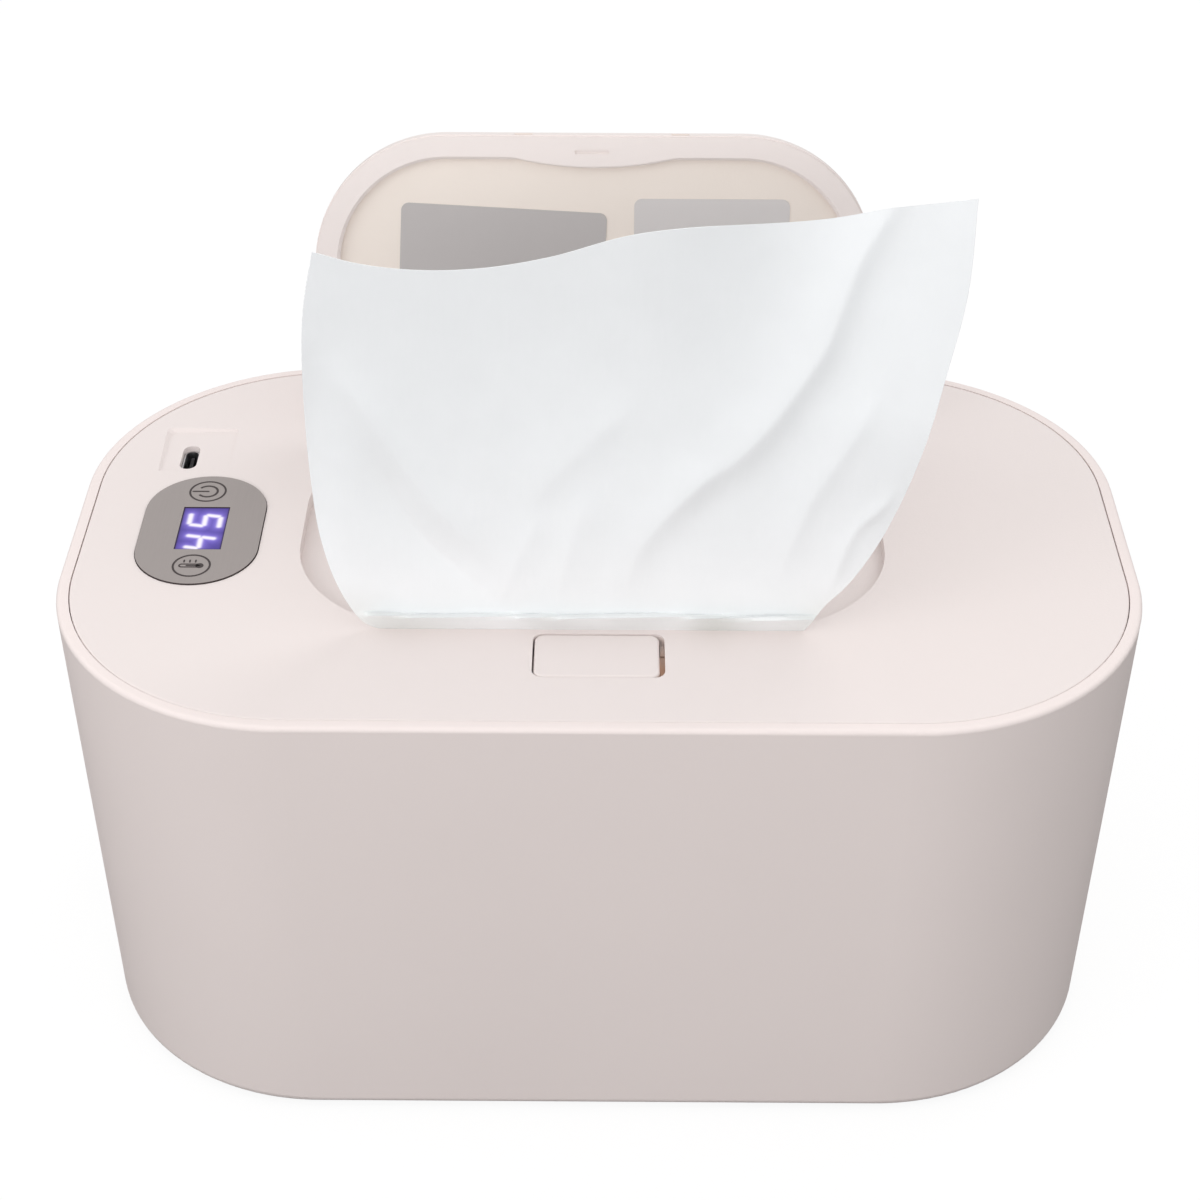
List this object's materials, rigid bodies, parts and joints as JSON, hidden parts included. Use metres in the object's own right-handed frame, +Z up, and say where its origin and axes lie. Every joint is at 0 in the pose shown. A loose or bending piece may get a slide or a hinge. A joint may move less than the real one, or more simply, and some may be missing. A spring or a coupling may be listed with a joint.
{
  "type": "baby wipe warmer",
  "caption": "Rounded tub with a lift-off heated cover, sprung flip lid over the wipe opening, press button, touch panel with digits and a USB-C inlet.",
  "frame": {"origin": "centre of the base, on the surface that the feet stand on", "axes": "+Z up, +X along the long side, the press button's side faces -Y"},
  "size_m": [0.21, 0.128, 0.1858],
  "materials": {
    "tub_plastic": "fine satin moulded ABS, pale pink white",
    "deck_plastic": "fine satin moulded ABS, pale pink white",
    "lid_plastic": "satin moulded ABS, warm white",
    "tray_plastic": "moulded heat resistant plastic",
    "rubber_grey": "matt",
    "silicone": "soft matt silicone",
    "foam": "closed cell foam",
    "film": "amber polyimide with etched heating track",
    "aluminium": "rolled",
    "steel": "zinc plated",
    "spring_steel": "drawn wire",
    "black_plastic": "moulded",
    "board_green": "solder mask",
    "display": "violet lit field, emissive",
    "lens": "violet window",
    "panel": "brushed satin film",
    "connector_cream": "nylon",
    "lead_red": "silicone insulated wire",
    "lead_white": "insulated wire",
    "label_grey": "bare printed label stock, satin",
    "cloth": "white nonwoven"
  },
  "bodies": {
    "tub": {"tub_shell": "tub_plastic", "rubber_feet": "rubber_grey"},
    "cover": {"deck": "deck_plastic", "cover_seal": "silicone", "under_tray": "tray_plastic", "dispensing_ring": "silicone", "insulation_pad": "foam", "heater_film": "film", "heat_plate": "aluminium", "plate_screws": "steel", "thermistor": "black_plastic", "thermal_fuse": "black_plastic", "control_board": "board_green", "display_module": "display", "display_lens": "lens", "touch_panel": "panel", "touch_springs": "spring_steel", "usb_shell": "steel", "usb_tongue": "black_plastic", "controller_chip": "black_plastic", "power_transistor": "black_plastic", "buzzer": "black_plastic", "wire_connector": "connector_cream", "heater_leads": "lead_red", "sensor_leads": "lead_white", "cover_screws": "steel", "board_screws": "steel", "latch_housing": "tray_plastic", "latch_screws": "steel", "hinge_pin": "steel", "hinge_spring": "spring_steel", "button_springs": "spring_steel", "latch_spring": "spring_steel", "wipe_sheet": "cloth"},
    "lid": {"lid_shell": "lid_plastic", "lid_liner": "lid_plastic", "label_left": "label_grey", "label_right": "label_grey"},
    "button": {"latch_button": "deck_plastic"},
    "latch": {"latch_yoke": "tray_plastic"}
  },
  "joints": [
    {"name": "cover_lift", "type": "slide", "parent": "tub", "child": "cover", "axis": [0, 0, 1], "range_m": [0, 0.06]},
    {"name": "lid_hinge", "type": "hinge", "parent": "cover", "child": "lid", "pos_m": [0, 0.0335, 0.0985], "axis": [-1, 0, 0], "range_deg": [-104, 0], "stiffness_Nm_per_rad": 0.02, "springref_deg": 28.65, "deforming": ["wipe_sheet", "hinge_spring"]},
    {"name": "button_press", "type": "slide", "parent": "cover", "child": "button", "axis": [0, 0, 1], "range_m": [-0.0015, 0], "stiffness_N_per_m": 300, "springref_m": 0.0015, "deforming": ["button_springs"]},
    {"name": "latch_slide", "type": "slide", "parent": "cover", "child": "latch", "axis": [0, 1, 0], "range_m": [-0.0012, 0], "stiffness_N_per_m": 100, "springref_m": 0.001, "deforming": ["latch_spring"]}
  ],
  "couplings": [
    {"joint": "latch_slide", "follows": "button_press", "ratio": 0.8}
  ]
}
